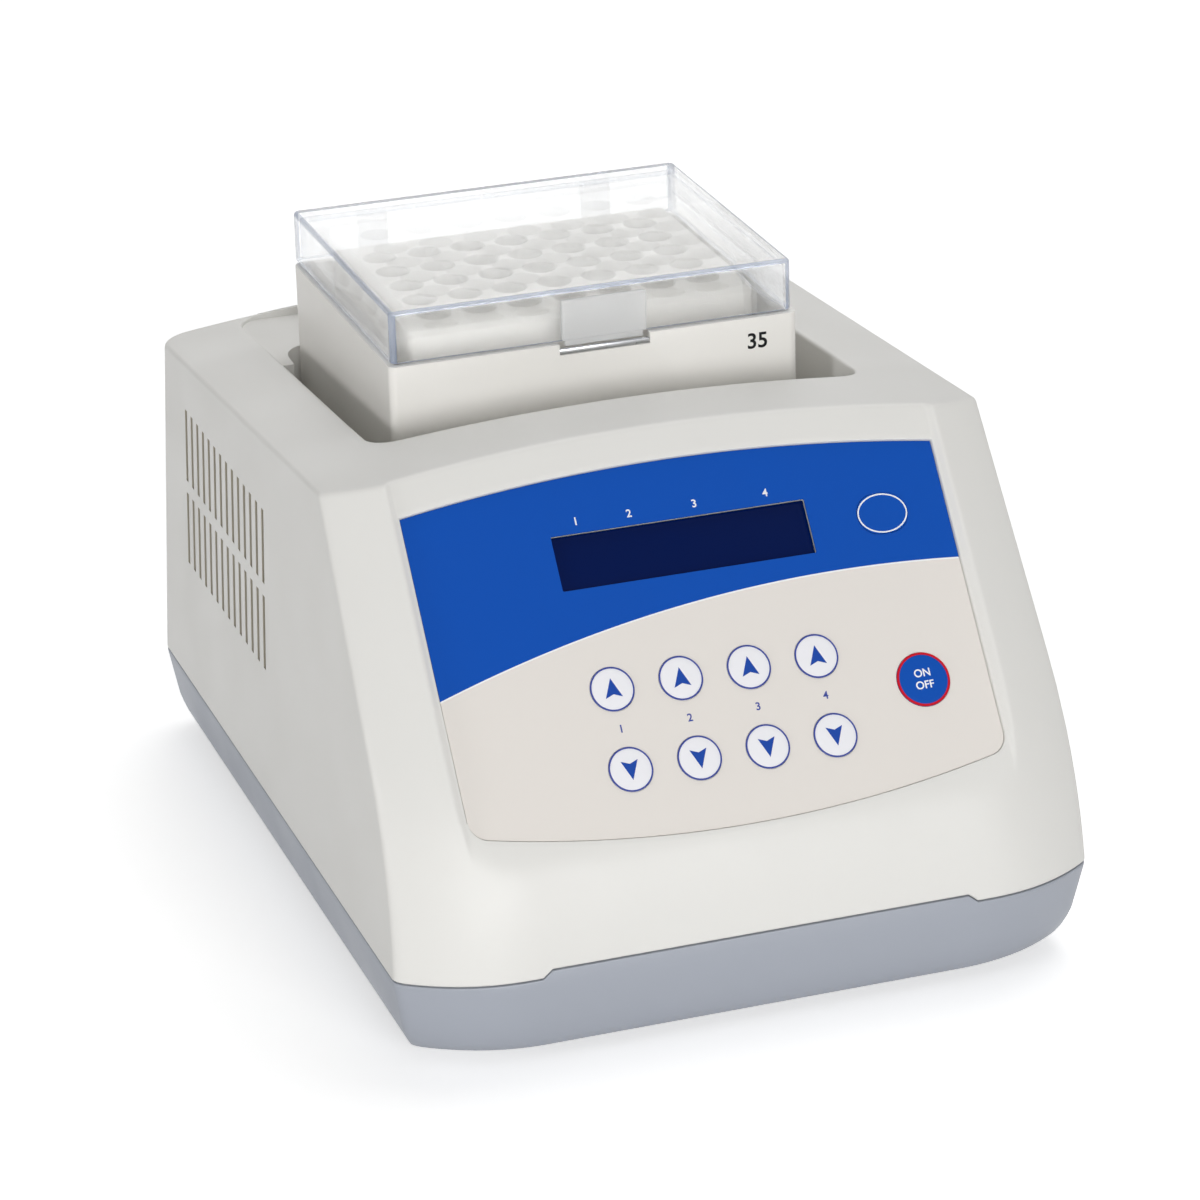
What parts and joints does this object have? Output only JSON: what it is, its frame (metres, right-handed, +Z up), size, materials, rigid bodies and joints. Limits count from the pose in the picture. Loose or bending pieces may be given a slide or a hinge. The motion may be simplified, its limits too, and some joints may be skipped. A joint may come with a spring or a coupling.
{
  "type": "thermal mixer",
  "caption": "Bench thermal mixer: heated tube block under a clear hinged cover on an orbiting platform, in a case with a sloping key panel.",
  "frame": {"origin": "on the bench under the middle of the case", "axes": "+Z up, the front panel faces -Y, +X to the right seen from the front"},
  "size_m": [0.223, 0.295, 0.1903],
  "materials": {
    "shell": "fine satin moulded plastic, warm off-white",
    "base_grey": "fine satin moulded plastic, blue-grey",
    "rubber": "matte black",
    "screw_steel": "zinc-plated steel",
    "plate_aluminium": "machined, fine brushed",
    "shaft_steel": "ground steel",
    "motor_black": "black painted",
    "copper_winding": "enamelled copper",
    "bushing_bronze": "sintered bronze",
    "magnet": "dark",
    "sink_aluminium": "extruded, bead blasted",
    "ceramic_white": "matt alumina",
    "block_aluminium": "bead blasted, satin anodised",
    "insulation_foam": "closed-cell foam",
    "housing_plastic": "fine satin moulded plastic, warm off-white",
    "clear_plastic": "clear polycarbonate, polished",
    "overlay_print": "printed polyester, fine velvet texture",
    "display_blue": "dark blue tinted window",
    "key_white": "printed polyester",
    "key_blue": "printed polyester",
    "board_green": "solder mask",
    "black_plastic": "moulded black plastic",
    "cable_grey": "flat cable",
    "panel_grey": "powder coated"
  },
  "bodies": {
    "root": {"top_shell": "shell", "splash_tub": "shell", "base_tray": "base_grey", "rubber_feet": "rubber", "case_screws": "screw_steel", "chassis_plate": "plate_aluminium", "frame_screws": "screw_steel", "frame_pillars": "plate_aluminium", "bridge_plate": "plate_aluminium", "motor_case": "motor_black", "motor_stator": "copper_winding", "motor_bearings": "shaft_steel", "idler_bushes": "bushing_bronze", "panel_overlay": "overlay_print", "display_window": "display_blue", "display_module": "board_green", "panel_board": "board_green", "key_switches": "black_plastic", "ribbon_cable": "cable_grey", "control_board": "board_green", "power_supply": "board_green", "mains_wires": "black_plastic", "back_panel": "panel_grey", "panel_screws": "screw_steel", "power_inlet": "black_plastic", "fuse_drawer": "black_plastic", "mains_switch": "black_plastic", "fan_frame": "black_plastic"},
    "crank": {"drive_shaft": "shaft_steel", "motor_rotor": "magnet", "counterweight": "shaft_steel"},
    "idler_1": {"idler_front_left": "shaft_steel"},
    "idler_2": {"idler_front_right": "shaft_steel"},
    "idler_3": {"idler_back": "shaft_steel"},
    "platform": {"carriage_plate": "plate_aluminium", "carriage_bearings": "shaft_steel", "carriage_posts": "plate_aluminium", "heat_sink": "sink_aluminium", "peltier_modules": "ceramic_white", "tube_block": "block_aluminium", "block_screws": "screw_steel", "insulation": "insulation_foam", "temperature_probe": "shaft_steel", "housing": "housing_plastic", "latch_catch": "shaft_steel", "hinge_pins": "shaft_steel"},
    "lid": {"lid": "clear_plastic", "hinge_tabs": "clear_plastic"},
    "fan": {"fan_rotor": "black_plastic"},
    "rocker": {"mains_rocker": "black_plastic"},
    "key_up_1": {"key_up_1": "key_white"},
    "key_up_2": {"key_up_2": "key_white"},
    "key_up_3": {"key_up_3": "key_white"},
    "key_up_4": {"key_up_4": "key_white"},
    "key_down_1": {"key_down_1": "key_white"},
    "key_down_2": {"key_down_2": "key_white"},
    "key_down_3": {"key_down_3": "key_white"},
    "key_down_4": {"key_down_4": "key_white"},
    "key_short_mix": {"key_short_mix": "key_blue"},
    "key_start": {"key_start": "key_blue"}
  },
  "joints": [
    {"name": "crank_spin", "type": "hinge", "parent": "root", "child": "crank", "pos_m": [-0.0015, 0.0526, 0.06], "axis": [0, 0, 1], "continuous": true},
    {"name": "platform_turn", "type": "hinge", "parent": "crank", "child": "platform", "pos_m": [0, 0.0526, 0.074], "axis": [0, 0, 1], "continuous": true},
    {"name": "idler_1_spin", "type": "hinge", "parent": "root", "child": "idler_1", "pos_m": [-0.0495, 0.0106, 0.06], "axis": [0, 0, 1], "continuous": true},
    {"name": "idler_2_spin", "type": "hinge", "parent": "root", "child": "idler_2", "pos_m": [0.0465, 0.0106, 0.06], "axis": [0, 0, 1], "continuous": true},
    {"name": "idler_3_spin", "type": "hinge", "parent": "root", "child": "idler_3", "pos_m": [-0.0015, 0.0966, 0.06], "axis": [0, 0, 1], "continuous": true},
    {"name": "lid_hinge", "type": "hinge", "parent": "platform", "child": "lid", "pos_m": [0, 0.113, 0.1685], "axis": [-1, 0, 0], "range_deg": [0, 105]},
    {"name": "fan_spin", "type": "hinge", "parent": "root", "child": "fan", "pos_m": [-0.03, 0.12868, 0.079], "axis": [0, 1, 0], "continuous": true},
    {"name": "mains_rocker", "type": "hinge", "parent": "root", "child": "rocker", "pos_m": [0.05, 0.13768, 0.104], "axis": [1, 0, 0], "range_deg": [0, 16]},
    {"name": "key_up_1_press", "type": "slide", "parent": "root", "child": "key_up_1", "axis": [0, 0.7891, -0.6143], "range_m": [0, 0.0005], "stiffness_N_per_m": 800},
    {"name": "key_up_2_press", "type": "slide", "parent": "root", "child": "key_up_2", "axis": [0, 0.7891, -0.6143], "range_m": [0, 0.0005], "stiffness_N_per_m": 800},
    {"name": "key_up_3_press", "type": "slide", "parent": "root", "child": "key_up_3", "axis": [0, 0.7891, -0.6143], "range_m": [0, 0.0005], "stiffness_N_per_m": 800},
    {"name": "key_up_4_press", "type": "slide", "parent": "root", "child": "key_up_4", "axis": [0, 0.7891, -0.6143], "range_m": [0, 0.0005], "stiffness_N_per_m": 800},
    {"name": "key_down_1_press", "type": "slide", "parent": "root", "child": "key_down_1", "axis": [0, 0.7891, -0.6143], "range_m": [0, 0.0005], "stiffness_N_per_m": 800},
    {"name": "key_down_2_press", "type": "slide", "parent": "root", "child": "key_down_2", "axis": [0, 0.7891, -0.6143], "range_m": [0, 0.0005], "stiffness_N_per_m": 800},
    {"name": "key_down_3_press", "type": "slide", "parent": "root", "child": "key_down_3", "axis": [0, 0.7891, -0.6143], "range_m": [0, 0.0005], "stiffness_N_per_m": 800},
    {"name": "key_down_4_press", "type": "slide", "parent": "root", "child": "key_down_4", "axis": [0, 0.7891, -0.6143], "range_m": [0, 0.0005], "stiffness_N_per_m": 800},
    {"name": "key_short_mix_press", "type": "slide", "parent": "root", "child": "key_short_mix", "axis": [0, 0.7891, -0.6143], "range_m": [0, 0.0005], "stiffness_N_per_m": 800},
    {"name": "key_start_press", "type": "slide", "parent": "root", "child": "key_start", "axis": [0, 0.7891, -0.6143], "range_m": [0, 0.0005], "stiffness_N_per_m": 800}
  ],
  "couplings": [
    {"joint": "platform_turn", "follows": "crank_spin", "ratio": -1},
    {"joint": "idler_1_spin", "follows": "crank_spin", "ratio": 1},
    {"joint": "idler_2_spin", "follows": "crank_spin", "ratio": 1},
    {"joint": "idler_3_spin", "follows": "crank_spin", "ratio": 1}
  ]
}
